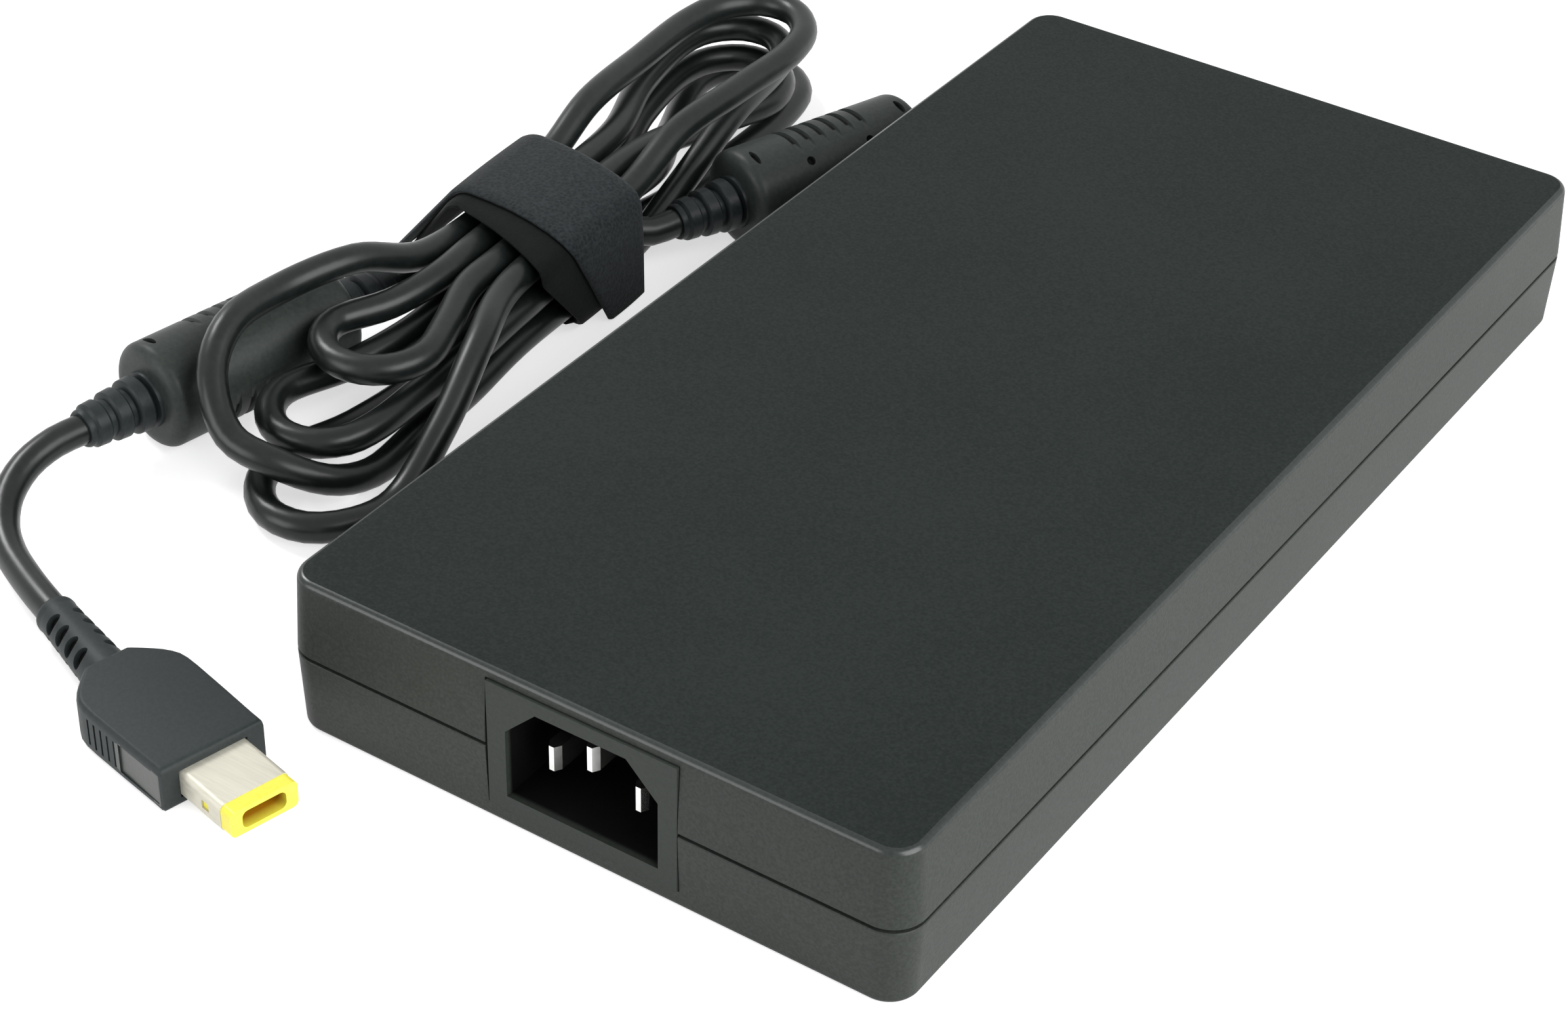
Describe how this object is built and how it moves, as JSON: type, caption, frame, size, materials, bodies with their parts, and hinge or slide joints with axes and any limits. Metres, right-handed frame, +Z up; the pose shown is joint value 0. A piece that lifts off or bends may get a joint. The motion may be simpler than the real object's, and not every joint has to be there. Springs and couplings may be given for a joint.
{
  "type": "laptop power adapter",
  "caption": "Slim rectangular power adapter with a three-pin mains inlet and a strapped output cord with ferrite beads and a flat rectangular plug.",
  "frame": {"origin": "centre of the housing's underside, on the surface it rests on", "axes": "+Y along the housing, from the mains inlet's end to the output cord's end; +X across it; +Z up from the resting face"},
  "size_m": [0.1683, 0.2538, 0.0254],
  "materials": {
    "bead_cover_plastic": "satin moulded, dark grey",
    "capacitor_can": "sleeved aluminium can",
    "chip_package": "moulded black resin",
    "circuit_board": "glass-fibre board with green solder mask",
    "contact_metal": "gold-plated contact",
    "cord_jacket": "satin jacket, dark grey",
    "ferrite": "dark sintered ferrite",
    "fuse_ceramic": "ceramic tube with metal end caps",
    "housing_lower_plastic": "fine matt grain, dark green-grey",
    "housing_upper_plastic": "satin moulded, dark green-grey",
    "inlet_plastic": "matt, black inside the cavity",
    "insulating_film": "clear to cream film",
    "moulded_capacitor": "moulded case",
    "nickel_plated_pin": "bright nickel plate",
    "plug_core_plastic": "black insulator",
    "plug_grip_plastic": "satin moulded, dark grey",
    "plug_sleeve_metal": "bright nickel plate",
    "plug_tip_plastic": "moulded yellow plastic",
    "shield_aluminium": "plain sheet",
    "strain_relief_rubber": "matt moulded",
    "strap_fabric": "woven hook-and-loop band, dark grey",
    "thermal_pad": "soft filled silicone",
    "winding_copper": "enamelled copper wire",
    "wire_insulation": "smooth insulation"
  },
  "bodies": {
    "root": {"lower_housing": "housing_lower_plastic", "upper_housing": "housing_upper_plastic", "inlet_block": "inlet_plastic", "live_pin": "nickel_plated_pin", "neutral_pin": "nickel_plated_pin", "earth_pin": "nickel_plated_pin", "inlet_wires": "wire_insulation", "lower_insulating_sheet": "insulating_film", "lower_shield": "shield_aluminium", "circuit_board": "circuit_board", "fuse": "fuse_ceramic", "line_filter_choke_1": "winding_copper", "line_filter_choke_2": "winding_copper", "filter_capacitor": "moulded_capacitor", "safety_capacitors": "moulded_capacitor", "bridge_rectifier": "chip_package", "pfc_choke_core": "ferrite", "pfc_choke_winding": "winding_copper", "bulk_capacitors": "capacitor_can", "primary_heat_sink": "shield_aluminium", "switching_transistors": "chip_package", "transformer_core": "ferrite", "transformer_winding": "winding_copper", "optocouplers": "chip_package", "secondary_heat_sink": "shield_aluminium", "rectifier_transistors": "chip_package", "output_capacitors": "capacitor_can", "output_choke": "winding_copper", "control_chips": "chip_package", "thermal_pads": "thermal_pad", "upper_shield": "shield_aluminium", "upper_insulating_sheet": "insulating_film", "output_wires": "wire_insulation", "housing_strain_relief": "strain_relief_rubber", "exit_cord": "cord_jacket", "bead_1_cover": "bead_cover_plastic", "bead_1_core": "ferrite", "cord_hank": "cord_jacket", "hank_strap": "strap_fabric", "bead_2_cover": "bead_cover_plastic", "bead_2_core": "ferrite", "plug_cord": "cord_jacket", "plug_grip": "plug_grip_plastic", "plug_inner_block": "plug_core_plastic", "plug_sleeve": "plug_sleeve_metal", "plug_tip": "plug_tip_plastic", "plug_centre_pin": "contact_metal"}
  },
  "joints": []
}
